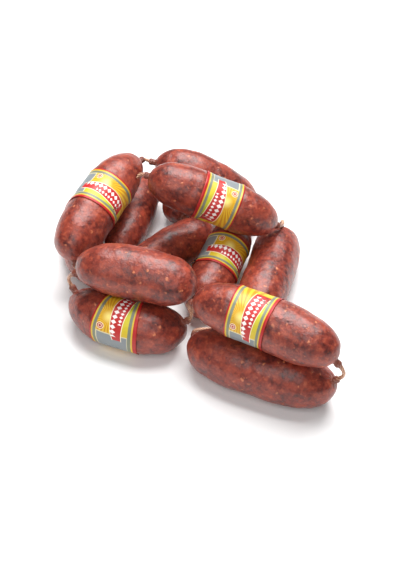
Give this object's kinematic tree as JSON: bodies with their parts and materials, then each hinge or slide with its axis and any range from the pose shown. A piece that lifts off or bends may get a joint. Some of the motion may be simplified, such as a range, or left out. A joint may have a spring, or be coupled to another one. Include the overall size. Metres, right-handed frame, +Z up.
{
  "type": "string of cured sausages",
  "caption": "Heaped string of plump dry-cured beef sausages, linked by twisted casing, some wearing a printed paper band.",
  "frame": {"origin": "on the table, under the middle of the heap's outline", "axes": "+Z up from the table, +Y from the front of the heap to its back, +X from left to right"},
  "size_m": [0.2038, 0.2622, 0.0915],
  "materials": {
    "sausage casing": "reddish brown cured beef in a thin natural casing, satin, mottled, with small fat specks; leather stands in for it",
    "printed paper": "glossy coated paper, yellow and grey with a red edge and a bare red banner",
    "dry twisted casing": "empty natural casing twisted and dried, tan, slightly translucent; leather stands in for it"
  },
  "bodies": {
    "root": {"link_01": "sausage casing", "link_02": "sausage casing", "link_03": "sausage casing", "link_04": "sausage casing", "link_05": "sausage casing", "link_06": "sausage casing", "link_07": "sausage casing", "link_08": "sausage casing", "link_09": "sausage casing", "link_10": "sausage casing", "link_11": "sausage casing", "link_12": "sausage casing", "link_13": "sausage casing", "paper_band_05": "printed paper", "paper_band_07": "printed paper", "paper_band_09": "printed paper", "paper_band_10": "printed paper", "paper_band_13": "printed paper", "casing_twist_01": "dry twisted casing", "casing_twist_02": "dry twisted casing", "casing_twist_03": "dry twisted casing", "casing_twist_04": "dry twisted casing", "casing_twist_05": "dry twisted casing", "casing_twist_06": "dry twisted casing", "casing_twist_07": "dry twisted casing", "casing_twist_08": "dry twisted casing", "casing_twist_09": "dry twisted casing", "casing_twist_10": "dry twisted casing", "casing_twist_11": "dry twisted casing", "casing_twist_12": "dry twisted casing", "casing_tail_first": "dry twisted casing", "casing_tail_last": "dry twisted casing"}
  },
  "joints": []
}
